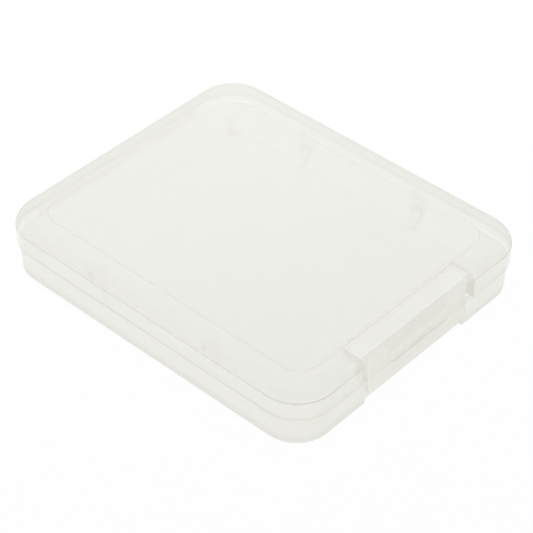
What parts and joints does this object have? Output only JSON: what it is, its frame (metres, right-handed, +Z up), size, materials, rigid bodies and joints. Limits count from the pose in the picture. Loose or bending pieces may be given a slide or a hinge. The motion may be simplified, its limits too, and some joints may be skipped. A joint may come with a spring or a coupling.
{
  "type": "memory card case",
  "caption": "Clear flat hinged plastic case for a memory card, with rounded corners, a raised lid panel, inner ribs and stops, and a front latch flap with a thumb bar.",
  "frame": {"origin": "centre of the tray's underside, on the surface that the case lies on", "axes": "+Z up, +Y along the case from the latch to the rear hinge, X across it"},
  "size_m": [0.0436, 0.0533, 0.0084],
  "materials": {
    "tray_plastic": "clear, slightly milky, smooth",
    "lid_plastic": "clear, slightly milky, smooth",
    "latch_plastic": "clear, slightly milky, smooth",
    "web_plastic": "thin and clear, whitened where it bends"
  },
  "bodies": {
    "base": {"base_tray": "tray_plastic", "rear_hinge_web": "web_plastic"},
    "lid": {"lid_cover": "lid_plastic", "latch_hinge_web": "web_plastic"},
    "latch": {"latch_flap": "latch_plastic"}
  },
  "joints": [
    {"name": "lid_open", "type": "hinge", "parent": "base", "child": "lid", "pos_m": [0, 0.0263, 0.00454], "axis": [-1, 0, 0], "range_deg": [0, 180], "deforming": ["rear_hinge_web"]},
    {"name": "latch_flex", "type": "hinge", "parent": "lid", "child": "latch", "pos_m": [0, -0.0225, 0.00795], "axis": [-1, 0, 0], "range_deg": [0, 20], "stiffness_Nm_per_rad": 0.0001, "deforming": ["latch_hinge_web"]}
  ]
}
